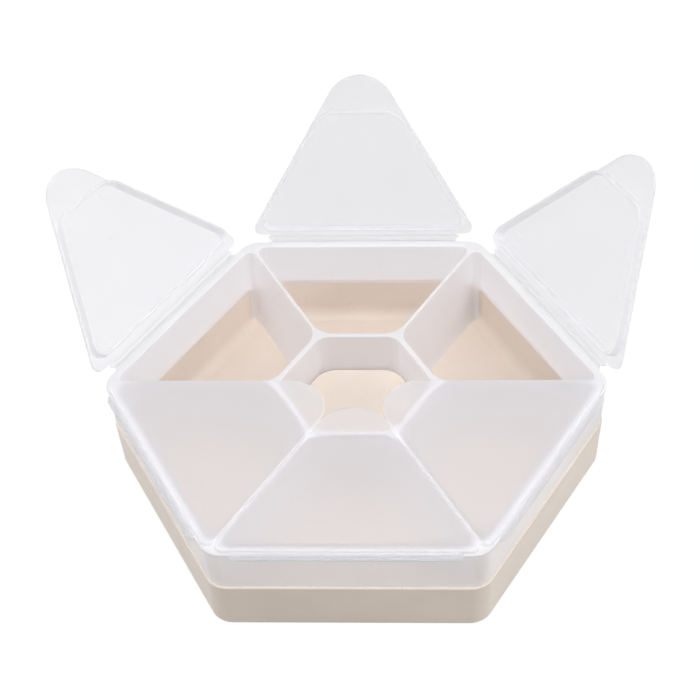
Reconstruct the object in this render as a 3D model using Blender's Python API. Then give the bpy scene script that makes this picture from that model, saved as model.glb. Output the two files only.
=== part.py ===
"""Hexagonal snack box: an open tray, a lift-out insert with six compartments and six hinged lids.

Metres, +Z up. The origin is the centre of the tray's underside. Two corners of the hexagon lie on the
X axis and the front side faces -Y. Each side of the hexagon is one sector: a compartment and its lid.
The lids stand as they do in use, three closed at the front and three open at the back.

An apothem is the distance from the centre to a side, square to it.
"""

import math

import bmesh
import bpy
from mathutils import Matrix, Vector

MM = 0.001
DEGREE = math.pi / 180
SIDES = 6
HALF_SECTOR = math.pi / SIDES
SECTOR = 2 * HALF_SECTOR

# Tray
TRAY_FLATS = 200 * MM
TRAY_HEIGHT = 25.5 * MM
TRAY_DRAFT = 1 * MM
TRAY_WALL = 2 * MM
TRAY_FLOOR = 2 * MM
TRAY_CORNER_RADIUS = 10 * MM
TRAY_FOOT_ROUND = 1 * MM
TRAY_RIM_ROUND = 0.7 * MM
TRAY_INSIDE_FILLET = 6 * MM

# Raised hexagonal floor of the centre well, hollow underneath, with a post that stands on the table
WELL_FLATS = 60.4 * MM
WELL_FLARE = 0.7 * MM
WELL_HEIGHT = 27.5 * MM
WELL_CORNER_RADIUS = 11 * MM
WELL_EDGE_ROUND = 0.8 * MM
WELL_WALL = 2 * MM
POST_RADIUS = 6 * MM

# Insert: its skirt stands on the tray's rim, and its dividers and hub reach down to the tray's floor
SEAT_GAP = 0.3 * MM
SKIRT_HEIGHT = 22.7 * MM
SKIRT_DRAFT = 0.5 * MM
SKIRT_CORNER_RADIUS = 8.5 * MM
RIM_OVERHANG = 0.6 * MM
RIM_WIDTH = 3.7 * MM
RIM_CORNER_RADIUS = 10 * MM
RIM_LIP = 0.8 * MM
RIM_LIP_DEPTH = 1.8 * MM
SPIGOT_DEPTH = 1 * MM
SPIGOT_CLEARANCE = 0.4 * MM
LEG_CLEARANCE = 0.9 * MM
DIVIDER_TOP = 1.6 * MM
DIVIDER_FOOT = 4.6 * MM
COMPARTMENT_DRAFT = 0.4 * MM
COMPARTMENT_CORNER_RADIUS = 4 * MM
COMPARTMENT_HUB_RADIUS = 11 * MM
HUB_WALL = 2.6 * MM
HUB_DRAFT = 0.7 * MM
HUB_CLEARANCE = 0.6 * MM
HUB_CORNER_RADIUS = 7 * MM

# Hinge: a leaf along each side of the rim and one on each lid, with the hinge line between them
LEAF_WIDTH = 2 * MM
LEAF_THICKNESS = 0.8 * MM
LEAF_END_MARGIN = 9.8 * MM
LEAF_TAPER = 1.7 * MM
LEAF_DROP = 0.8 * MM
WEB_WIDTH = 2.3 * MM
WEB_THICKNESS = 0.6 * MM
HINGE_GAP = 0.3 * MM

# Lids
LID_THICKNESS = 1.8 * MM
LID_SEAT_GAP = 0.3 * MM
LID_SIDE_GAP = 0.4 * MM
LID_EDGE_INSET = 0.6 * MM
LID_CORNER_RADIUS = 2.8 * MM
LID_TAB = 15.8 * MM
LID_EDGE_ROUND = 0.4 * MM
LID_PANEL_RECESS = 0.2 * MM
PLUG_DEPTH = 5 * MM
PLUG_WALL = 1.3 * MM
PLUG_CLEARANCE = 0.5 * MM
PLUG_END_CLEARANCE = 0.8 * MM

# Snap beads: two on the hub's wall in each compartment, and two on the plug that pass under them
BEAD_LENGTH = 8 * MM
BEAD_HEIGHT = 1.4 * MM
BEAD_PROUD = 0.2 * MM
BEAD_SINK = 0.3 * MM
BEAD_SPACING = 22 * MM
BEAD_DROP = 1.8 * MM
PLUG_BEAD_DROP = 3.4 * MM

# How far a cutter runs past a face that it opens, and how far joined shapes run into each other
OVERRUN = 3 * MM
WELD = 0.2 * MM

# The lids anticlockwise from the rear right, with the angle that each stands open
REAR_RIGHT_ANGLE = 126 * DEGREE
REAR_ANGLE = 107 * DEGREE
REAR_LEFT_ANGLE = 136 * DEGREE
LIDS = (
    ("lid_rear_right", REAR_RIGHT_ANGLE),
    ("lid_rear", REAR_ANGLE),
    ("lid_rear_left", REAR_LEFT_ANGLE),
    ("lid_front_left", 0),
    ("lid_front", 0),
    ("lid_front_right", 0),
)

ROUND_STEPS = 6
EDGE_STEPS = 3
POST_STEPS = 24
BEAD_STEPS = 12

# The tab's end is round but for a short flat, which keeps its two corners apart
TAB_ROUND_SHARE = 0.98

TRAY_APOTHEM = TRAY_FLATS / 2
TRAY_RIM_INNER = TRAY_APOTHEM - TRAY_WALL
TRAY_FLOOR_INNER = TRAY_RIM_INNER - TRAY_DRAFT * (1 - TRAY_FLOOR / TRAY_HEIGHT)
TRAY_INNER_RADIUS = TRAY_CORNER_RADIUS - TRAY_WALL
WELL_APOTHEM = WELL_FLATS / 2
SHOULDER_HEIGHT = TRAY_HEIGHT + SEAT_GAP
RIM_HEIGHT = SHOULDER_HEIGHT + SKIRT_HEIGHT
RIM_APOTHEM = TRAY_APOTHEM + RIM_OVERHANG
INSERT_FOOT = TRAY_FLOOR + SEAT_GAP
COMPARTMENT_APOTHEM = RIM_APOTHEM - RIM_WIDTH
HUB_INNER = WELL_APOTHEM + HUB_CLEARANCE
HUB_OUTER = HUB_INNER + HUB_WALL
LEAF_APOTHEM = RIM_APOTHEM + LEAF_WIDTH
LEAF_HALF_LENGTH = RIM_APOTHEM * math.tan(HALF_SECTOR) - LEAF_END_MARGIN
HINGE_APOTHEM = LEAF_APOTHEM + HINGE_GAP / 2
HINGE_HEIGHT = RIM_HEIGHT - LEAF_DROP + HINGE_GAP / 2
LID_UNDERSIDE = RIM_HEIGHT + LID_SEAT_GAP


def clear_scene():
    for existing in list(bpy.data.objects):
        bpy.data.objects.remove(existing, do_unlink=True)


def make_material(name, colour, roughness):
    material = bpy.data.materials.new(name)
    material.use_nodes = True
    shader = material.node_tree.nodes["Principled BSDF"]
    shader.inputs["Base Color"].default_value = (*colour, 1)
    shader.inputs["Roughness"].default_value = roughness
    shader.inputs["Metallic"].default_value = 0
    material.diffuse_color = (*colour, 1)
    return material


def make_collection(name):
    collection = bpy.data.collections.new(name)
    bpy.context.scene.collection.children.link(collection)
    return collection


def bevel_edges(block, edges, width, steps):
    bmesh.ops.bevel(
        block, geom=edges, offset=width, offset_type="OFFSET", segments=steps, profile=0.5, affect="EDGES"
    )


def upright_edges(block):
    """The edges that run from the lower face to the upper one."""
    heights = [vertex.co.z for vertex in block.verts]
    middle = (min(heights) + max(heights)) / 2
    return [edge for edge in block.edges if (edge.verts[0].co.z - middle) * (edge.verts[1].co.z - middle) < 0]


def level_edges(block, height):
    """The edges that lie flat at one height."""
    near = WELD / 2
    return [edge for edge in block.edges if all(abs(vertex.co.z - height) < near for vertex in edge.verts)]


def round_level_edges(block, height, radius, steps):
    bevel_edges(block, level_edges(block, height), radius, steps)


def hexagon_block(foot, top, foot_apothem, top_apothem, corner_radius):
    """A six-sided block with rounded corners and drafted sides, from height foot to height top."""
    block = bmesh.new()
    bmesh.ops.create_cone(
        block,
        cap_ends=True,
        segments=SIDES,
        radius1=foot_apothem / math.cos(HALF_SECTOR),
        radius2=top_apothem / math.cos(HALF_SECTOR),
        depth=top - foot,
        matrix=Matrix.Translation((0, 0, (foot + top) / 2)) @ Matrix.Rotation(HALF_SECTOR, 4, "Z"),
    )
    bevel_edges(block, upright_edges(block), corner_radius * math.tan(HALF_SECTOR), ROUND_STEPS)
    return block


def sector_block(foot, top, foot_section, top_section, outer_radius, inner_radius):
    """A block that fills one sector towards +Y. A section is (outer apothem, inner apothem, side gap).

    The side gap is the distance from the sector's border to the block's side, square to it. The two
    outer corners have outer_radius and the two inner ones inner_radius.
    """
    block = bmesh.new()
    bmesh.ops.create_cube(block, size=1)
    for vertex in block.verts:
        side, outward, level = vertex.co
        height = top if level > 0 else foot
        outer, inner, gap = top_section if level > 0 else foot_section
        apothem = outer if outward > 0 else inner
        half_width = apothem * math.tan(HALF_SECTOR) - gap / math.cos(HALF_SECTOR)
        vertex.co = Vector((math.copysign(half_width, side), apothem, height))
    middle = (foot_section[0] + foot_section[1]) / 2
    uprights = upright_edges(block)
    outer_edges = [edge for edge in uprights if edge.verts[0].co.y > middle]
    inner_edges = [edge for edge in uprights if edge.verts[0].co.y < middle]
    bevel_edges(block, outer_edges, outer_radius / math.tan(HALF_SECTOR), ROUND_STEPS)
    bevel_edges(block, inner_edges, inner_radius * math.tan(HALF_SECTOR), ROUND_STEPS)
    return block


def strip_block(foot, top, inner, outer):
    """A thin strip along one side, from apothem inner to apothem outer and shorter at its outer edge."""
    block = bmesh.new()
    bmesh.ops.create_cube(block, size=1)
    for vertex in block.verts:
        side, outward, level = vertex.co
        apothem = outer if outward > 0 else inner
        half_length = LEAF_HALF_LENGTH - LEAF_TAPER if outward > 0 else LEAF_HALF_LENGTH
        vertex.co = Vector((math.copysign(half_length, side), apothem, top if level > 0 else foot))
    return block


def bead_block(apothem, across, height, facing):
    """A low lens-shaped bead on a wall at this apothem. Facing is 1 for a wall that faces +Y, or -1."""
    block = bmesh.new()
    bmesh.ops.create_uvsphere(block, u_segments=BEAD_STEPS, v_segments=BEAD_STEPS // 2, radius=1)
    scale = Matrix.Diagonal((BEAD_LENGTH / 2, BEAD_SINK + BEAD_PROUD, BEAD_HEIGHT / 2, 1))
    place = Matrix.Translation((across, apothem - facing * BEAD_SINK, height))
    bmesh.ops.transform(block, matrix=place @ scale, verts=block.verts)
    return block


def turned(block, sector):
    """The block turned from the rear sector to another one, counted anticlockwise from the rear right."""
    turn = Matrix.Rotation((sector - 1) * SECTOR, 3, "Z")
    bmesh.ops.rotate(block, cent=(0, 0, 0), matrix=turn, verts=block.verts)
    return block


def make_object(name, block, collection, material=None):
    mesh = bpy.data.meshes.new(name)
    bmesh.ops.recalc_face_normals(block, faces=block.faces)
    block.to_mesh(mesh)
    block.free()
    if material:
        mesh.materials.append(material)
    made = bpy.data.objects.new(name, mesh)
    collection.objects.link(made)
    return made


def combine(target, block, operation, name, cutters):
    """Adds a Boolean of the block to the target and keeps the block as a hidden cutter."""
    cutter = make_object(name, block, cutters)
    cutter.hide_render = True
    cutter.display_type = "WIRE"
    modifier = target.modifiers.new(name, "BOOLEAN")
    modifier.operation = operation
    modifier.solver = "EXACT"
    modifier.object = cutter


def apply_modifiers(made):
    """Replaces the object's mesh with the one that its modifiers make, shaded smooth."""
    bpy.context.view_layer.update()
    evaluated = made.evaluated_get(bpy.context.evaluated_depsgraph_get())
    mesh = bpy.data.meshes.new_from_object(evaluated)
    mesh.shade_smooth()
    mesh.set_sharp_from_angle(angle=math.radians(30))
    made.modifiers.clear()
    made.data = mesh


def make_tray(collection, cutters, material):
    foot_apothem = TRAY_APOTHEM - TRAY_DRAFT
    body = hexagon_block(0, TRAY_HEIGHT, foot_apothem, TRAY_APOTHEM, TRAY_CORNER_RADIUS)
    round_level_edges(body, 0, TRAY_FOOT_ROUND, EDGE_STEPS)
    round_level_edges(body, TRAY_HEIGHT, TRAY_RIM_ROUND, EDGE_STEPS)
    tray = make_object("tray", body, collection, material)

    cavity_top = TRAY_HEIGHT + OVERRUN
    cavity_apothem = TRAY_RIM_INNER + TRAY_DRAFT * OVERRUN / TRAY_HEIGHT
    cavity = hexagon_block(TRAY_FLOOR, cavity_top, TRAY_FLOOR_INNER, cavity_apothem, TRAY_INNER_RADIUS)
    round_level_edges(cavity, TRAY_FLOOR, TRAY_INSIDE_FILLET, ROUND_STEPS)
    combine(tray, cavity, "DIFFERENCE", "tray_cavity", cutters)

    well = hexagon_block(WELD, WELL_HEIGHT, WELL_APOTHEM + WELL_FLARE, WELL_APOTHEM, WELL_CORNER_RADIUS)
    round_level_edges(well, WELL_HEIGHT, WELL_EDGE_ROUND, EDGE_STEPS)
    combine(tray, well, "UNION", "tray_well", cutters)
    hollow_apothem = WELL_APOTHEM - WELL_WALL
    hollow_radius = WELL_CORNER_RADIUS - WELL_WALL
    hollow_top = WELL_HEIGHT - WELL_WALL
    hollow = hexagon_block(-OVERRUN, hollow_top, hollow_apothem + WELL_FLARE, hollow_apothem, hollow_radius)
    combine(tray, hollow, "DIFFERENCE", "tray_well_hollow", cutters)
    post_height = WELL_HEIGHT - WELL_WALL / 2
    post = bmesh.new()
    bmesh.ops.create_cone(
        post,
        cap_ends=True,
        segments=POST_STEPS,
        radius1=POST_RADIUS,
        radius2=POST_RADIUS,
        depth=post_height,
        matrix=Matrix.Translation((0, 0, post_height / 2)),
    )
    combine(tray, post, "UNION", "tray_post", cutters)
    apply_modifiers(tray)


def drafted(foot_value, top_value, height):
    """A size of the insert's inside at a height, from its values at the insert's foot and rim."""
    share = (height - INSERT_FOOT) / (RIM_HEIGHT - INSERT_FOOT)
    return foot_value + (top_value - foot_value) * share


def compartment_section(height):
    return (
        drafted(COMPARTMENT_APOTHEM - COMPARTMENT_DRAFT, COMPARTMENT_APOTHEM, height),
        drafted(HUB_OUTER + HUB_DRAFT, HUB_OUTER, height),
        drafted(DIVIDER_FOOT / 2, DIVIDER_TOP / 2, height),
    )


def make_insert(collection, cutters, material):
    """The skirt with its rim, the six dividers and the hub, all open down to the tray's floor."""
    skirt_apothem = RIM_APOTHEM - RIM_LIP
    skirt_foot = skirt_apothem - SKIRT_DRAFT
    skirt = hexagon_block(SHOULDER_HEIGHT, RIM_HEIGHT - WELD, skirt_foot, skirt_apothem, SKIRT_CORNER_RADIUS)
    insert = make_object("insert", skirt, collection, material)

    lip_foot = RIM_HEIGHT - RIM_LIP_DEPTH
    lip = hexagon_block(lip_foot, RIM_HEIGHT, RIM_APOTHEM, RIM_APOTHEM, RIM_CORNER_RADIUS)
    round_level_edges(lip, lip_foot, RIM_LIP - WELD, 1)
    combine(insert, lip, "UNION", "insert_lip", cutters)

    inside_top = SHOULDER_HEIGHT + WELD
    spigot_foot = TRAY_HEIGHT - SPIGOT_DEPTH
    spigot_apothem = TRAY_RIM_INNER - SPIGOT_CLEARANCE
    spigot = hexagon_block(spigot_foot, inside_top, spigot_apothem, spigot_apothem, TRAY_INNER_RADIUS)
    combine(insert, spigot, "UNION", "insert_spigot", cutters)
    leg_apothem = TRAY_FLOOR_INNER - LEG_CLEARANCE
    legs = hexagon_block(INSERT_FOOT, inside_top, leg_apothem, leg_apothem, TRAY_INNER_RADIUS)
    round_level_edges(legs, INSERT_FOOT, TRAY_INSIDE_FILLET, ROUND_STEPS)
    combine(insert, legs, "UNION", "insert_legs", cutters)

    low = INSERT_FOOT - OVERRUN
    high = RIM_HEIGHT + OVERRUN
    for sector in range(SIDES):
        compartment = sector_block(
            low,
            high,
            compartment_section(low),
            compartment_section(high),
            COMPARTMENT_CORNER_RADIUS,
            COMPARTMENT_HUB_RADIUS,
        )
        combine(insert, turned(compartment, sector), "DIFFERENCE", f"compartment_{sector + 1}", cutters)
    hub_low = drafted(HUB_INNER + HUB_DRAFT, HUB_INNER, low)
    hub_high = drafted(HUB_INNER + HUB_DRAFT, HUB_INNER, high)
    well = hexagon_block(low, high, hub_low, hub_high, HUB_CORNER_RADIUS)
    combine(insert, well, "DIFFERENCE", "insert_well", cutters)

    leaf_top = RIM_HEIGHT - LEAF_DROP
    for sector in range(SIDES):
        leaf = strip_block(leaf_top - LEAF_THICKNESS, leaf_top, RIM_APOTHEM - WELD, LEAF_APOTHEM)
        combine(insert, turned(leaf, sector), "UNION", f"insert_leaf_{sector + 1}", cutters)
        for end, side in (("a", -1), ("b", 1)):
            bead = bead_block(HUB_OUTER, side * BEAD_SPACING / 2, RIM_HEIGHT - BEAD_DROP, 1)
            combine(insert, turned(bead, sector), "UNION", f"insert_bead_{sector + 1}{end}", cutters)
    apply_modifiers(insert)


def make_lid_mesh(collection, cutters, material):
    """One closed lid. Its mesh has the hinge line on the X axis and the rest of the lid at -Y."""
    plate_outer = RIM_APOTHEM - LID_EDGE_INSET
    plate_section = (plate_outer, HUB_OUTER - LID_TAB, LID_SIDE_GAP)
    tab_radius = TAB_ROUND_SHARE * (HUB_OUTER - LID_TAB - LID_SIDE_GAP / math.sin(HALF_SECTOR))
    plate_top = LID_UNDERSIDE + LID_THICKNESS
    plate = sector_block(
        LID_UNDERSIDE, plate_top, plate_section, plate_section, LID_CORNER_RADIUS, tab_radius
    )
    round_level_edges(plate, plate_top, LID_EDGE_ROUND, EDGE_STEPS)
    lid = make_object("lid_pattern", plate, collection, material)

    plug_foot = LID_UNDERSIDE - PLUG_DEPTH
    plug_section = (
        COMPARTMENT_APOTHEM - PLUG_CLEARANCE,
        HUB_OUTER + PLUG_END_CLEARANCE,
        DIVIDER_TOP / 2 + PLUG_CLEARANCE,
    )
    plug_radii = (COMPARTMENT_CORNER_RADIUS - PLUG_CLEARANCE, COMPARTMENT_HUB_RADIUS - PLUG_CLEARANCE)
    plug_top = LID_UNDERSIDE + LID_PANEL_RECESS + WELD
    plug = sector_block(plug_foot, plug_top, plug_section, plug_section, *plug_radii)
    combine(lid, plug, "UNION", "lid_plug", cutters)
    outer, inner, gap = plug_section
    pocket_section = (outer - PLUG_WALL, inner + PLUG_WALL, gap + PLUG_WALL)
    pocket_radii = [radius - PLUG_WALL for radius in plug_radii]
    pocket_top = LID_UNDERSIDE + LID_PANEL_RECESS
    pocket = sector_block(plug_foot - OVERRUN, pocket_top, pocket_section, pocket_section, *pocket_radii)
    combine(lid, pocket, "DIFFERENCE", "lid_pocket", cutters)
    for end, side in (("a", -1), ("b", 1)):
        bead = bead_block(inner, side * BEAD_SPACING / 2, RIM_HEIGHT - PLUG_BEAD_DROP, -1)
        combine(lid, bead, "UNION", f"lid_bead_{end}", cutters)

    web_foot = LID_UNDERSIDE + WELD
    leaf = strip_block(
        HINGE_HEIGHT + HINGE_GAP / 2, web_foot + WELD, RIM_APOTHEM + LID_SEAT_GAP, LEAF_APOTHEM
    )
    combine(lid, leaf, "UNION", "lid_leaf", cutters)
    web_outer = plate_outer + WEB_WIDTH / 2
    web = strip_block(web_foot, web_foot + WEB_THICKNESS, web_outer - WEB_WIDTH, web_outer)
    combine(lid, web, "UNION", "lid_web", cutters)

    apply_modifiers(lid)
    mesh = lid.data
    bpy.data.objects.remove(lid, do_unlink=True)
    mesh.transform(Matrix.Translation((0, -HINGE_APOTHEM, -HINGE_HEIGHT)))
    return mesh


def hang_lid(name, sector, open_angle, mesh, collection):
    """Places a lid on its side of the insert. The object's X axis is the hinge line."""
    lid = bpy.data.objects.new(name, mesh)
    collection.objects.link(lid)
    turn = Matrix.Rotation((sector - 1) * SECTOR, 4, "Z")
    hinge = Matrix.Translation((0, HINGE_APOTHEM, HINGE_HEIGHT))
    swing = Matrix.Rotation(-open_angle, 4, "X")
    lid.matrix_world = turn @ hinge @ swing


def main():
    clear_scene()
    box = make_collection("hexagon_snack_box")
    cutters = make_collection("cutters")
    oat = make_material("oat_fibre_plastic", (0.78, 0.68, 0.58), 0.55)
    frosted = make_material("frosted_polypropylene", (0.86, 0.86, 0.9), 0.4)
    make_tray(box, cutters, oat)
    make_insert(box, cutters, frosted)
    lid_mesh = make_lid_mesh(box, cutters, frosted)
    for sector, (name, open_angle) in enumerate(LIDS):
        hang_lid(name, sector, open_angle, lid_mesh, box)


main()
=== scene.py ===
"""The looks of a hexagonal snack box: a plant-fibre tray, a frosted insert and six hinged lids."""

import math

import bmesh
import bpy
from mathutils import Matrix, Vector


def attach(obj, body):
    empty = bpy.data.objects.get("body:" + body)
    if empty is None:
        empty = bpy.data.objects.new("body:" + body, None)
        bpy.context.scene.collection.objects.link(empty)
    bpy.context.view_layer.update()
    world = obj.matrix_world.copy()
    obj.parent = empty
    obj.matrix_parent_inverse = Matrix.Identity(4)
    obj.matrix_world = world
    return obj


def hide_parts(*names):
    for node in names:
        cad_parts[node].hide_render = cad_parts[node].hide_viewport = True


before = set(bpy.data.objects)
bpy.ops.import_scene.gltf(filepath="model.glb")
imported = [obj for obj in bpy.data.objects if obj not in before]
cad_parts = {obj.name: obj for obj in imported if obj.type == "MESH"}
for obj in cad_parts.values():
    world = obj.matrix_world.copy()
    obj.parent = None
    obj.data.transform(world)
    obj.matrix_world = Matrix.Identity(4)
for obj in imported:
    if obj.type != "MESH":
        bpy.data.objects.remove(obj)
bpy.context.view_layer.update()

MM = 0.001
HALF_SECTOR = math.pi / 6
SECTOR = 2 * HALF_SECTOR
TAN30 = math.tan(HALF_SECTOR)
COS30 = math.cos(HALF_SECTOR)
# Edges that turn by more than this are drawn sharp, and those over the second angle get rounded
SHARP = math.radians(35)
ROUNDED = math.radians(50)

# The lids anticlockwise from the rear right, with the angle that each stands open, in degrees
LIDS = (
    ("lid_rear_right", 126),
    ("lid_rear", 107),
    ("lid_rear_left", 136),
    ("lid_front_left", 0),
    ("lid_front", 0),
    ("lid_front_right", 0),
)

# Sizes in millimetres that the solids give
HINGE_APOTHEM = 102.75
HINGE_HEIGHT = 47.85
STRIP_HALF_LENGTH = 48.28
STRIP_TAPER = 1.7
TRAY_HEIGHT = 25.5
TRAY_FLOOR = 2
WELL_FLOOR = 27.5
POST_RADIUS = 6
RIM_APOTHEM = 100.6
RIM_HEIGHT = 48.5
LIP_HEIGHT = 1.8
SHOULDER_HEIGHT = 25.8
COMPARTMENT_APOTHEM = 96.9
COMPARTMENT_GAP = 0.8
LEG_FOOT = 2.3
HUB_INNER = 30.8
HUB_OUTER = 33.4
LID_UNDERSIDE = 48.8
LID_TOP = 50.6
LID_GAP = 0.4
LID_PANEL = LID_UNDERSIDE + 0.2
PLUG_FOOT = LID_UNDERSIDE - 5
PLUG_WALL = 1.3
PLATE_APOTHEM = RIM_APOTHEM - 0.6
# How far the painted glow of the pale edge lines reaches from the rim's top and from the ring's
# foot, in millimetres
EDGE_BAND = 0.55
BEAD_ACROSS = 11
BEAD_SINK = 0.3
SNAP_HEIGHT = RIM_HEIGHT - 3.4
TAB_APOTHEM = HUB_OUTER - 15.8

# Places under a lid, as across and outward: the ejector pins' marks and the gate's
EJECTOR_MARKS = ((41, 88.8), (13, 39.6))
GATE_MARK = (0, 57)

# The photograph's camera: pixels on the 700-pixel frame, radians and millimetres
FRAME_PIXELS = 700
FOCAL_PIXELS = 1549
CAMERA_YAW, CAMERA_PITCH, CAMERA_ROLL = -0.051, 0.760, -0.038
CAMERA_PLACE = (39.7, -501.6, 546.3)
CENTRE_RIGHT_PIXELS = 35
SENSOR_WIDTH = 36

# The floor's size in metres, and the world's strength where it isn't seen
FLOOR_SIZE = 6
WORLD_LIGHT = 0.34

# Soft boxes: place and aim in metres, size in metres and power in watts
LAMPS = (
    ("soft_box_top", (0, -0.1, 1.7), (0, 0, 0), 0.9, 7.5),
    ("soft_box_left", (-1.25, -0.35, 0.8), (0, 0, 0), 1.4, 8.5),
    ("soft_box_right", (1.25, -0.35, 0.7), (0, 0, 0), 1.4, 11),
    ("soft_box_front", (0, -1.4, 1.1), (0, 0, 0), 1.4, 2.5),
)


def only(piece):
    """Makes a piece the one that is selected and active."""
    for other in bpy.context.selected_objects:
        other.select_set(False)
    piece.select_set(True)
    bpy.context.view_layer.objects.active = piece


def edit(piece, mode):
    """Opens a piece in edit mode with vertices, edges or faces to select."""
    only(piece)
    bpy.ops.object.mode_set(mode="EDIT")
    bpy.ops.mesh.select_mode(type=mode)
    bpy.ops.mesh.select_all(action="DESELECT")


def close(piece):
    """Leaves edit mode."""
    bpy.ops.object.mode_set(mode="OBJECT")
    return piece


def choose(piece, kind, test):
    """Selects the vertices, edges or faces in edit mode that pass a test, and no others."""
    bpy.ops.mesh.select_all(action="DESELECT")
    mesh = bmesh.from_edit_mesh(piece.data)
    for item in getattr(mesh, kind):
        if test(item):
            item.select_set(True)
    mesh.select_flush_mode()
    bmesh.update_edit_mesh(piece.data)


def is_upright(edge):
    """True for an edge that runs up a block's side."""
    low, high = sorted(vertex.co.z for vertex in edge.verts)
    flat = (edge.verts[0].co - edge.verts[1].co).to_2d().length
    return high - low > 2 * flat + MM


def apothem_of(point):
    """How far out a point lies, square to the nearest side of the hexagon, in metres."""
    turn = math.atan2(point.y, point.x) % SECTOR - HALF_SECTOR
    return point.to_2d().length * math.cos(turn)


def is_level(height):
    """A test for edges that lie at one height, in millimetres."""
    return lambda edge: all(abs(vertex.co.z - height * MM) < 0.01 * MM for vertex in edge.verts)


def bevel(width, segments):
    """Rounds the edges that are selected in edit mode by a width in millimetres."""
    bpy.ops.mesh.bevel(offset=width * MM, offset_type="OFFSET", segments=segments, profile=0.5)


def round_level(piece, height, width, segments):
    """Rounds all edges of a piece that lie at one height, in millimetres."""
    edit(piece, "EDGE")
    choose(piece, "edges", is_level(height))
    bevel(width, segments)
    return close(piece)


def apply_place(piece):
    """Sets a piece's object to the origin, unturned and unscaled, with its mesh left in place."""
    only(piece)
    bpy.ops.object.transform_apply(location=True, rotation=True, scale=True)


def hexagon(name, foot, top, foot_apothem, top_apothem, corner_radius, steps=14):
    """A six-sided block with rounded corners and drafted sides, in millimetres."""
    bpy.ops.mesh.primitive_cone_add(
        vertices=6,
        radius1=foot_apothem / COS30 * MM,
        radius2=top_apothem / COS30 * MM,
        depth=(top - foot) * MM,
        location=(0, 0, (foot + top) / 2 * MM),
        rotation=(0, 0, HALF_SECTOR),
    )
    block = bpy.context.object
    block.name = name
    apply_place(block)
    edit(block, "EDGE")
    choose(block, "edges", is_upright)
    bevel(corner_radius * TAN30, steps)
    return close(block)


def wedge(name, foot, top, foot_section, top_section, outer_radius, inner_radius, steps=12):
    """A block that fills one sector towards +Y, in millimetres.

    A section is the outer apothem, the inner apothem and the gap between the side and the sector's
    border. The block starts as a cube whose corners are then moved out to the two sections.
    """
    bpy.ops.mesh.primitive_cube_add(size=2)
    block = bpy.context.object
    block.name = name
    edit(block, "VERT")
    for level, height, section in ((-1, foot, foot_section), (1, top, top_section)):
        outer, inner, gap = section
        for outward, apothem in ((1, outer), (-1, inner)):
            for side in (-1, 1):
                corner = Vector((side, outward, level))
                choose(block, "verts", lambda vertex: (vertex.co - corner).length < 0.5)
                half_width = apothem * TAN30 - gap / COS30
                goal = Vector((side * half_width, apothem, height)) * MM
                bpy.ops.transform.translate(value=goal - corner)
    middle = (foot_section[0] + foot_section[1]) / 2 * MM
    bpy.ops.mesh.select_mode(type="EDGE")
    choose(block, "edges", lambda edge: is_upright(edge) and edge.verts[0].co.y > middle)
    bevel(outer_radius / TAN30, steps)
    choose(block, "edges", lambda edge: is_upright(edge) and edge.verts[0].co.y <= middle)
    bevel(inner_radius * TAN30, steps)
    return close(block)


def copies_round(piece):
    """Six copies of a piece of the rear sector, one in each sector, joined into one."""
    made = []
    for index in range(6):
        copy = piece.copy()
        copy.data = piece.data.copy()
        bpy.context.collection.objects.link(copy)
        copy.data.transform(Matrix.Rotation(index * SECTOR, 4, "Z"))
        made.append(copy)
    bpy.data.objects.remove(piece)
    only(made[0])
    for copy in made[1:]:
        copy.select_set(True)
    bpy.ops.object.join()
    return bpy.context.object


def combine(target, cutter, operation):
    """Applies a Boolean with the other piece and removes that piece."""
    only(target)
    modifier = target.modifiers.new(operation, "BOOLEAN")
    modifier.operation = operation
    modifier.solver = "EXACT"
    modifier.object = cutter
    bpy.ops.object.modifier_apply(modifier=modifier.name)
    bpy.data.objects.remove(cutter)


def round_rim(piece, height, width):
    """Rounds the sharp edges of a piece that lie at one height, in millimetres."""
    edit(piece, "EDGE")
    level = is_level(height)
    choose(piece, "edges", lambda edge: level(edge) and edge.calc_face_angle(0) > SHARP)
    bevel(width, 3)
    close(piece)


def shade(piece):
    """Shades a piece smooth, with its flat faces kept flat up to their rounded edges."""
    only(piece)
    bpy.ops.object.shade_smooth_by_angle(angle=SHARP)
    modifier = piece.modifiers.new("normals", "WEIGHTED_NORMAL")
    modifier.keep_sharp = True
    bpy.ops.object.modifier_apply(modifier=modifier.name)


def soften(piece, width):
    """Rounds the sharp edges of a piece by a width in millimetres."""
    only(piece)
    modifier = piece.modifiers.new("edges", "BEVEL")
    modifier.width = width * MM
    modifier.segments = 2
    modifier.limit_method = "ANGLE"
    modifier.angle_limit = ROUNDED
    modifier.offset_type = "OFFSET"
    bpy.ops.object.modifier_apply(modifier=modifier.name)


def bead(name, place):
    """A lens-shaped bead, 8 mm long, 1 mm deep and 1.4 mm high, with its place in millimetres."""
    bpy.ops.mesh.primitive_uv_sphere_add(segments=24, ring_count=12, radius=1)
    made = bpy.context.object
    made.name = name
    made.scale = Vector((8, 1, 1.4)) / 2 * MM
    made.location = Vector(place) * MM
    apply_place(made)
    return made


def round_mark(radius, depth, place):
    """A flat round pad under the lid's panel, such as an ejector pin leaves, in millimetres."""
    foot, top = LID_PANEL - depth, LID_PANEL + 0.4
    bpy.ops.mesh.primitive_cylinder_add(
        vertices=32,
        radius=radius * MM,
        depth=(top - foot) * MM,
        location=Vector((*place, (top + foot) / 2)) * MM,
    )
    made = bpy.context.object
    apply_place(made)
    return made


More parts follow.
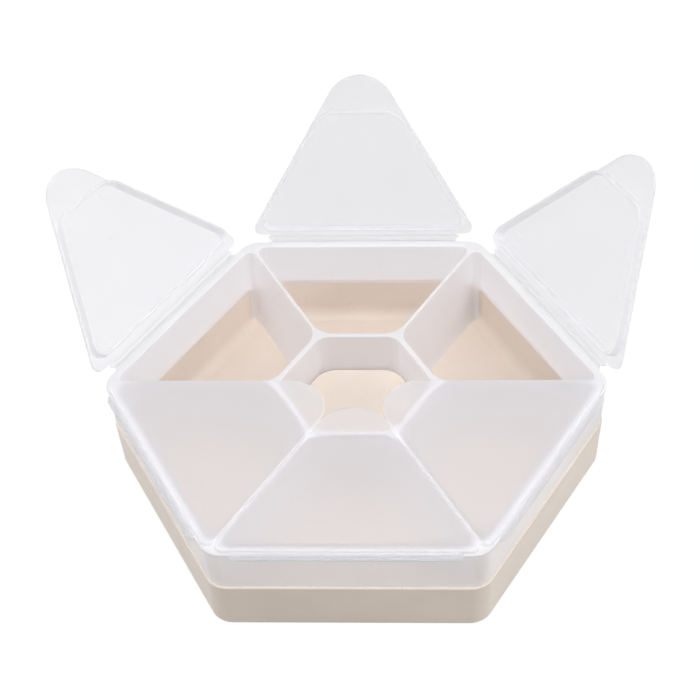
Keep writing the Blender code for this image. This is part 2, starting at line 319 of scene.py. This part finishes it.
def strip(name, foot, top, inner, outer):
    """A thin strip along the rear side, shorter at its outer edge, in millimetres."""
    bpy.ops.mesh.primitive_cube_add(size=1)
    made = bpy.context.object
    made.name = name
    made.scale = (2 * STRIP_HALF_LENGTH * MM, (outer - inner) * MM, (top - foot) * MM)
    made.location = (0, (outer + inner) / 2 * MM, (top + foot) / 2 * MM)
    apply_place(made)
    edit(made, "FACE")
    choose(made, "faces", lambda face: face.normal.y > 0.9)
    share = (STRIP_HALF_LENGTH - STRIP_TAPER) / STRIP_HALF_LENGTH
    bpy.ops.transform.resize(value=(share, 1, 1), center_override=(0, outer * MM, 0))
    return close(made)


# Materials


WHITE = (1, 1, 1, 1)
BLACK = (0, 0, 0, 1)


def colour(code):
    """Linear RGBA from an sRGB hex value."""
    values = [int(code[i : i + 2], 16) / 255 for i in (0, 2, 4)]
    return (*[v / 12.92 if v <= 0.04045 else ((v + 0.055) / 1.055) ** 2.4 for v in values], 1)


def add_node(tree, kind, settings=(), values=(), links=()):
    """Adds a node with its settings, its input values and its links from other nodes' outputs."""
    node = tree.nodes.new(kind)
    for name, value in dict(settings).items():
        setattr(node, name, value)
    for name, value in dict(values).items():
        node.inputs[name].default_value = value
    for name, source in dict(links).items():
        tree.links.new(source, node.inputs[name])
    return node


def new_material(name):
    """A material with its node tree and its main shader."""
    material = bpy.data.materials.new(name)
    material.use_nodes = True
    return material, material.node_tree, material.node_tree.nodes["Principled BSDF"]


def colour_ramp(tree, factor, stops):
    """A ramp's colour output, from two stops that are each a place and a colour."""
    ramp = add_node(tree, "ShaderNodeValToRGB", links={"Fac": factor})
    for index, (place, value) in enumerate(stops):
        stop = ramp.color_ramp.elements[index]
        stop.position = place
        stop.color = value
    return ramp.outputs["Color"]


def plant_fibre_plastic():
    """Injection-moulded polypropylene with ground plant fibre: satin, oatmeal, faintly flecked."""
    material, tree, shader = new_material("plant_fibre_polypropylene")
    place = add_node(tree, "ShaderNodeTexCoord").outputs["Object"]
    # Slow cloudiness over about 40 mm, as filled plastic shows where it flowed
    cloud = add_node(
        tree, "ShaderNodeTexNoise", values={"Scale": 25, "Detail": 3}, links={"Vector": place}
    )
    tints = ((0.3, colour("DFD2C5")), (0.7, colour("E7DBCF")))
    base = colour_ramp(tree, cloud.outputs["Fac"], tints)
    # Flecks of fibre, 0.3 to 0.8 mm across, few and faint
    cells = add_node(
        tree,
        "ShaderNodeTexVoronoi",
        values={"Scale": 420, "Randomness": 1},
        links={"Vector": place},
    )
    dots = colour_ramp(tree, cells.outputs["Distance"], ((0.08, WHITE), (0.2, BLACK)))
    rare = add_node(
        tree, "ShaderNodeTexNoise", values={"Scale": 160, "Detail": 1}, links={"Vector": place}
    )
    where = colour_ramp(tree, rare.outputs["Fac"], ((0.6, BLACK), (0.68, WHITE)))
    fleck = add_node(
        tree, "ShaderNodeMath", {"operation": "MULTIPLY"}, links={0: dots, 1: where}
    ).outputs[0]
    faint = add_node(
        tree, "ShaderNodeMath", {"operation": "MULTIPLY"}, {1: 0.35}, {0: fleck}
    ).outputs[0]
    # The mix node's sockets share their names across kinds of data, so these are taken by place
    mixed = add_node(
        tree, "ShaderNodeMix", {"data_type": "RGBA"}, {7: colour("A88A6C")}, {0: faint, 6: base}
    )
    tree.links.new(mixed.outputs[2], shader.inputs["Base Color"])
    shader.inputs["Roughness"].default_value = 0.38
    shader.inputs["IOR"].default_value = 1.49
    # The mould's fine spark texture, about 0.4 mm, drawn coarse enough to show
    grain = add_node(
        tree, "ShaderNodeTexNoise", values={"Scale": 2500, "Detail": 2}, links={"Vector": place}
    )
    bump = add_node(
        tree,
        "ShaderNodeBump",
        values={"Strength": 0.12, "Distance": 0.0001},
        links={"Height": grain.outputs["Fac"]},
    )
    tree.links.new(bump.outputs["Normal"], shader.inputs["Normal"])
    return material


def frosted_plastic(name, tint, roughness, clearness, grain_strength):
    """Injection-moulded natural polypropylene: milky, it passes light and blurs what lies behind."""
    material, tree, shader = new_material(name)
    shader.inputs["Base Color"].default_value = colour(tint)
    shader.inputs["IOR"].default_value = 1.49
    shader.inputs["Roughness"].default_value = roughness
    shader.inputs["Specular IOR Level"].default_value = 0.2
    # The milky share scatters light a few millimetres deep, which makes thin walls glow
    shader.inputs["Subsurface Weight"].default_value = 1.0
    shader.inputs["Subsurface Radius"].default_value = (1, 1, 1)
    shader.inputs["Subsurface Scale"].default_value = 3 * MM
    # Light that is already in the plastic leaves it freely, so that a wall isn't milky twice over
    inside = add_node(tree, "ShaderNodeNewGeometry").outputs["Backfacing"]
    passed = add_node(
        tree,
        "ShaderNodeMapRange",
        values={"To Min": clearness, "To Max": 1.0},
        links={"Value": inside},
    ).outputs[0]
    tree.links.new(passed, shader.inputs["Transmission Weight"])
    place = add_node(tree, "ShaderNodeTexCoord").outputs["Object"]
    # The fine texture of the mould, about 0.4 mm, drawn coarse enough to show
    grain = add_node(
        tree, "ShaderNodeTexNoise", values={"Scale": 2200, "Detail": 2}, links={"Vector": place}
    )
    bump = add_node(
        tree,
        "ShaderNodeBump",
        values={"Strength": grain_strength, "Distance": 0.0001},
        links={"Height": grain.outputs["Fac"]},
    )
    tree.links.new(bump.outputs["Normal"], shader.inputs["Normal"])
    # Lamps shine on through a wall, as through the real one, and light what stands behind it
    passes_lamps = add_node(tree, "ShaderNodeBsdfTransparent", values={"Color": colour("FAF9F9")})
    both = add_node(
        tree,
        "ShaderNodeMixShader",
        links={
            0: add_node(tree, "ShaderNodeLightPath").outputs["Is Shadow Ray"],
            1: shader.outputs[0],
            2: passes_lamps.outputs[0],
        },
    )
    tree.links.new(both.outputs[0], tree.nodes["Material Output"].inputs["Surface"])
    return material


oat = plant_fibre_plastic()
frosted_insert = frosted_plastic("frosted_polypropylene_insert", "EBEAED", 0.7, 0.5, 0.1)
# The skirt's outside is the paler: painted glow that stands in for light reaching it from inside the
# box. It is also the smoother, with less roughness and finer grain
skirt_painted_glow = frosted_plastic("frosted_polypropylene_skirt_painted_glow", "FCFBFC", 0.6, 0.4, 0.05)
frosted_lid = frosted_plastic("frosted_polypropylene_lid", "F0F0F3", 0.6, 0.65, 0.1)
# The finger tab and the hinge strips come from polished parts of the mould: smoother and clearer
smooth_part = frosted_plastic("smooth_polypropylene", "F0F0F3", 0.45, 0.72, 0.02)
# Light that travels along inside the walls leaves at their edges. The edge faces get a paler,
# milkier material, painted glow that shows as pale lines
painted_glow_edge = frosted_plastic("polypropylene_edge_painted_glow", "F2F2F6", 0.5, 0.2, 0.0)


def paint(piece, material, test=lambda face: True):
    """Gives a material to the faces of a piece that pass a test, or to all of them."""
    piece.data.materials.append(material)
    for face in piece.data.polygons:
        if test(face):
            face.material_index = len(piece.data.materials) - 1


def register(piece, node):
    """Hides the solid that a finished piece stands for, and hangs the piece on that solid's body."""
    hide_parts(node)
    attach(piece, node)


# Tray


def make_tray():
    """The tray, with the raised floor of its centre well, hollow from below round a post."""
    foot_apothem, rim_apothem = 99, 100
    floor_inner, rim_inner = 97.08, 98.12
    well_foot, well_top = 30.9, 30.2
    well_wall = 2
    tray = hexagon("tray_shell", 0, TRAY_HEIGHT, foot_apothem, rim_apothem, 10)
    round_level(tray, 0, 1, 4)
    round_level(tray, TRAY_HEIGHT, 0.7, 4)
    cavity = hexagon("cavity", TRAY_FLOOR, TRAY_HEIGHT + 3, floor_inner, rim_inner, 8)
    combine(tray, round_level(cavity, TRAY_FLOOR, 6, 10), "DIFFERENCE")
    well = hexagon("well", 0.5, WELL_FLOOR, well_foot, well_top, 11, 18)
    combine(tray, round_level(well, WELL_FLOOR, 0.8, 5), "UNION")
    hollow = hexagon(
        "hollow", -3, WELL_FLOOR - well_wall, well_foot - well_wall, well_top - well_wall, 9
    )
    combine(tray, hollow, "DIFFERENCE")
    post_top = WELL_FLOOR - well_wall / 2
    bpy.ops.mesh.primitive_cylinder_add(
        vertices=48,
        radius=POST_RADIUS * MM,
        depth=post_top * MM,
        location=(0, 0, post_top / 2 * MM),
    )
    post = bpy.context.object
    apply_place(post)
    combine(tray, post, "UNION")
    soften(tray, 0.3)
    shade(tray)
    paint(tray, oat)
    register(tray, "tray")


# Insert


def compartment_section(outer, inner, gap, share):
    """A compartment's section, drafted from that at the rim by a share of the way to the foot."""
    return (outer - 0.4 * share, inner + 0.7 * share, gap + 1.5 * share)


def on_skirt(face):
    """True outside the compartments, below the lip and short of the hinge strips."""
    place = apothem_of(face.center) / MM
    outward = face.normal.dot(face.center) > 0 and face.center.z < (RIM_HEIGHT - 1) * MM
    return outward and COMPARTMENT_APOTHEM < place < RIM_APOTHEM + 0.1


def make_insert():
    """The insert as one moulding: skirt, lip, corner legs, dividers, hinge strips and beads."""
    skirt_apothem = RIM_APOTHEM - 0.8
    insert = hexagon(
        "insert_shell", SHOULDER_HEIGHT, RIM_HEIGHT - 0.2, skirt_apothem - 0.5, skirt_apothem, 8.5
    )
    lip = hexagon("lip", RIM_HEIGHT - LIP_HEIGHT, RIM_HEIGHT, RIM_APOTHEM, RIM_APOTHEM, 10)
    combine(insert, round_level(lip, RIM_HEIGHT - LIP_HEIGHT, 0.78, 3), "UNION")
    spigot_apothem, leg_apothem = 97.6, 96.18
    lapped = SHOULDER_HEIGHT + 0.2
    combine(insert, hexagon("spigot", 24.5, lapped, spigot_apothem, spigot_apothem, 8), "UNION")
    legs = hexagon("legs", LEG_FOOT, lapped, leg_apothem, leg_apothem, 8)
    combine(insert, round_level(legs, LEG_FOOT, 6, 8), "UNION")

    # The cutters pass the insert by 3 mm at both ends, with their draft carried on
    low, high = LEG_FOOT - 3, RIM_HEIGHT + 3
    stretch = (high - low) / (RIM_HEIGHT - LEG_FOOT)
    extra = (high - RIM_HEIGHT) / (RIM_HEIGHT - LEG_FOOT)
    at_rim = (COMPARTMENT_APOTHEM, HUB_OUTER, COMPARTMENT_GAP)
    top_section = compartment_section(*at_rim, -extra)
    foot_section = compartment_section(*at_rim, stretch - extra)
    compartment = wedge("compartment", low, high, foot_section, top_section, 4, 11)
    combine(insert, copies_round(compartment), "DIFFERENCE")
    well_foot, well_top = HUB_INNER + 0.7 * (stretch - extra), HUB_INNER - 0.7 * extra
    combine(insert, hexagon("well_tube", low, high, well_foot, well_top, 7), "DIFFERENCE")
    round_rim(insert, RIM_HEIGHT, 0.5)

    leaf_top = RIM_HEIGHT - 0.8
    leaf = strip("leaf", leaf_top - 0.8, leaf_top, RIM_APOTHEM - 0.2, RIM_APOTHEM + 2)
    combine(insert, copies_round(leaf), "UNION")
    beads = [
        bead("bead", (side * BEAD_ACROSS, HUB_OUTER - BEAD_SINK, RIM_HEIGHT - LIP_HEIGHT))
        for side in (-1, 1)
    ]
    only(beads[0])
    beads[1].select_set(True)
    bpy.ops.object.join()
    combine(insert, copies_round(bpy.context.object), "UNION")
    soften(insert, 0.3)
    # The living hinge is a thin round web along the axis, which the lid's strip turns about
    bpy.ops.mesh.primitive_cylinder_add(
        vertices=12,
        radius=0.35 * MM,
        depth=92 * MM,
        location=(0, HINGE_APOTHEM * MM, HINGE_HEIGHT * MM),
        rotation=(0, math.pi / 2, 0),
    )
    web = bpy.context.object
    apply_place(web)
    combine(insert, copies_round(web), "UNION")
    shade(insert)
    paint(insert, frosted_insert)
    # The skirt's outer faces get the paler tint, painted glow for light from inside the box
    paint(insert, skirt_painted_glow, on_skirt)
    # A band at the rim's top gets the paler material, the painted glow of a pale edge line
    paint(insert, painted_glow_edge, lambda face: face.center.z > (RIM_HEIGHT - EDGE_BAND) * MM)
    paint(insert, smooth_part, lambda face: apothem_of(face.center) > (RIM_APOTHEM + 0.1) * MM)
    register(insert, "insert")


# Lids


def is_lid_edge(face):
    """True for the faces round the plate's border and along the foot of the plug's ring."""
    height = face.center.z / MM
    short_of_strip = face.center.y < (PLATE_APOTHEM - 0.2) * MM
    border = LID_UNDERSIDE < height < LID_TOP and abs(face.normal.z) < 0.95 and short_of_strip
    return height < PLUG_FOOT + EDGE_BAND or border


def make_lid_pattern():
    """One lid, closed over the rear compartment."""
    plate_section = (PLATE_APOTHEM, TAB_APOTHEM, LID_GAP)
    # Nearly the largest corners that the tab's end has room for, which makes it round
    tab_radius = 0.98 * (TAB_APOTHEM - LID_GAP / math.sin(HALF_SECTOR))
    lid = wedge(
        "lid_pattern", LID_UNDERSIDE, LID_TOP, plate_section, plate_section, 4, tab_radius, 24
    )
    round_level(lid, LID_TOP, 0.6, 4)
    plug_section = (COMPARTMENT_APOTHEM - 0.5, HUB_OUTER + 0.8, COMPARTMENT_GAP + 0.5)
    plug = wedge("plug", PLUG_FOOT, LID_UNDERSIDE + 0.4, plug_section, plug_section, 5.5, 10.5)
    combine(lid, plug, "UNION")
    outer, inner, gap = plug_section
    pocket_section = (outer - PLUG_WALL, inner + PLUG_WALL, gap + PLUG_WALL)
    pocket = wedge("pocket", PLUG_FOOT - 3, LID_PANEL, pocket_section, pocket_section, 4.2, 9.2)
    combine(lid, pocket, "DIFFERENCE")
    round_rim(lid, PLUG_FOOT, 0.5)
    for side in (-1, 1):
        snap = bead("snap", (side * BEAD_ACROSS, inner + BEAD_SINK, SNAP_HEIGHT))
        combine(lid, snap, "UNION")
    for side in (-1, 1):
        for across, outward in EJECTOR_MARKS:
            combine(lid, round_mark(2.5, 0.3, (side * across, outward)), "UNION")
    combine(lid, round_mark(1, 0.4, GATE_MARK), "UNION")
    leaf_foot, leaf_top = HINGE_HEIGHT + 0.15, LID_UNDERSIDE + 0.4
    leaf = strip("leaf", leaf_foot, leaf_top, RIM_APOTHEM + 0.3, RIM_APOTHEM + 2)
    combine(lid, leaf, "UNION")
    # The web joins the strip to the plate
    web = strip("web", LID_PANEL, LID_PANEL + 0.6, PLATE_APOTHEM - 1.15, PLATE_APOTHEM + 1.15)
    combine(lid, web, "UNION")
    soften(lid, 0.25)
    shade(lid)
    paint(lid, frosted_lid)
    paint(lid, smooth_part, lambda face: not inner - 1 < face.center.y / MM < RIM_APOTHEM + 0.2)
    # The plate's border and the ring's foot get the paler material, the painted glow of pale edge
    # lines
    paint(lid, painted_glow_edge, is_lid_edge)
    return lid


def hang_lids(pattern):
    """Copies the closed lid to each side of the insert and turns each copy about its hinge."""
    hinge = Matrix.Translation((0, HINGE_APOTHEM * MM, HINGE_HEIGHT * MM))
    for sector, (node, degrees_open) in enumerate(LIDS):
        lid = pattern.copy()
        lid.data = pattern.data.copy()
        lid.name = f"{node}_moulding"
        bpy.context.collection.objects.link(lid)
        turn = Matrix.Rotation((sector - 1) * SECTOR, 4, "Z")
        swing = Matrix.Rotation(-math.radians(degrees_open), 4, "X")
        lid.data.transform(turn @ hinge @ swing @ hinge.inverted())
        register(lid, node)
    bpy.data.objects.remove(pattern)


# Surroundings


def seen_share(tree):
    """One where the camera looks, also in a reflection or through plastic, else zero."""
    path = add_node(tree, "ShaderNodeLightPath")
    seen = add_node(
        tree,
        "ShaderNodeMath",
        {"operation": "MAXIMUM"},
        links={0: path.outputs["Is Camera Ray"], 1: path.outputs["Is Transmission Ray"]},
    ).outputs[0]
    seen = add_node(
        tree,
        "ShaderNodeMath",
        {"operation": "MAXIMUM"},
        links={0: seen, 1: path.outputs["Is Glossy Ray"]},
    ).outputs[0]
    direct = add_node(
        tree,
        "ShaderNodeMath",
        {"operation": "LESS_THAN"},
        {1: 0.5},
        {0: path.outputs["Diffuse Depth"]},
    ).outputs[0]
    return add_node(
        tree, "ShaderNodeMath", {"operation": "MULTIPLY"}, links={0: seen, 1: direct}
    ).outputs[0]


def make_floor():
    """A pale floor that the camera sees as white, with the object's faint shadow."""
    bpy.ops.mesh.primitive_plane_add(size=FLOOR_SIZE)
    floor = bpy.context.object
    floor.name = "floor"
    material = bpy.data.materials.new("pale_floor")
    material.use_nodes = True
    tree = material.node_tree
    tree.nodes.clear()
    share = seen_share(tree)
    lit = add_node(tree, "ShaderNodeBsdfDiffuse", values={"Color": colour("B4B2B0")})
    shaded = add_node(tree, "ShaderNodeBsdfDiffuse", values={"Color": WHITE})
    white = add_node(tree, "ShaderNodeEmission", values={"Color": WHITE, "Strength": 1.04})
    # The shadow is let show near the object only, and farther out the floor is plain white
    place = add_node(tree, "ShaderNodeTexCoord").outputs["Object"]
    distance = add_node(
        tree, "ShaderNodeVectorMath", {"operation": "LENGTH"}, links={0: place}
    ).outputs["Value"]
    whiteness = add_node(
        tree,
        "ShaderNodeMapRange",
        values={"From Min": 0.3, "From Max": 0.9, "To Min": 0.88, "To Max": 1.0},
        links={"Value": distance},
    ).outputs[0]
    shown = add_node(
        tree,
        "ShaderNodeMixShader",
        links={0: whiteness, 1: shaded.outputs[0], 2: white.outputs[0]},
    )
    mixed = add_node(
        tree, "ShaderNodeMixShader", links={0: share, 1: lit.outputs[0], 2: shown.outputs[0]}
    )
    add_node(tree, "ShaderNodeOutputMaterial", links={"Surface": mixed.outputs[0]})
    floor.data.materials.append(material)


def make_world():
    """Even studio light, seen as white by the camera and through the frosted plastic."""
    world = bpy.data.worlds.new("studio")
    bpy.context.scene.world = world
    world.use_nodes = True
    tree = world.node_tree
    tree.nodes.clear()
    strength = add_node(
        tree,
        "ShaderNodeMapRange",
        values={"To Min": WORLD_LIGHT, "To Max": 1.0},
        links={"Value": seen_share(tree)},
    ).outputs[0]
    background = add_node(
        tree, "ShaderNodeBackground", values={"Color": WHITE}, links={"Strength": strength}
    )
    add_node(tree, "ShaderNodeOutputWorld", links={"Surface": background.outputs[0]})


def add_lamp(name, place, aim, size, power):
    """A square soft box, with its place and aim in metres and its power in watts."""
    bpy.ops.object.light_add(type="AREA", location=place)
    lamp = bpy.context.object
    lamp.name = name
    lamp.data.shape = "SQUARE"
    lamp.data.size = size
    lamp.data.energy = power
    direction = Vector(aim) - Vector(place)
    lamp.rotation_mode = "QUATERNION"
    lamp.rotation_quaternion = direction.to_track_quat("-Z", "Y")


def make_camera():
    """The photograph's camera: 43.5 degrees down, its centre a little right of the frame's."""
    camera = bpy.data.objects.new("camera", bpy.data.cameras.new("camera"))
    bpy.context.collection.objects.link(camera)
    yaw, pitch, roll = CAMERA_YAW, CAMERA_PITCH, CAMERA_ROLL
    ahead = Vector(
        (math.sin(yaw) * math.cos(pitch), math.cos(yaw) * math.cos(pitch), -math.sin(pitch))
    )
    right = Vector((math.cos(yaw), -math.sin(yaw), 0))
    up = right.cross(ahead)
    turned_right = math.cos(roll) * right + math.sin(roll) * up
    turned_up = -math.sin(roll) * right + math.cos(roll) * up
    place = Matrix((turned_right, turned_up, -ahead)).transposed().to_4x4()
    place.translation = Vector(CAMERA_PLACE) * MM
    camera.matrix_world = place
    camera.data.sensor_width = SENSOR_WIDTH
    camera.data.lens = FOCAL_PIXELS / FRAME_PIXELS * SENSOR_WIDTH
    camera.data.shift_x = -CENTRE_RIGHT_PIXELS / FRAME_PIXELS
    camera.data.clip_start = 0.01
    camera.data.clip_end = 20
    bpy.context.scene.camera = camera


make_camera()
make_floor()
make_world()
for lamp in LAMPS:
    add_lamp(*lamp)
make_tray()
make_insert()
hang_lids(make_lid_pattern())

bpy.context.scene.view_settings.view_transform = "Standard"
bpy.context.view_layer.update()
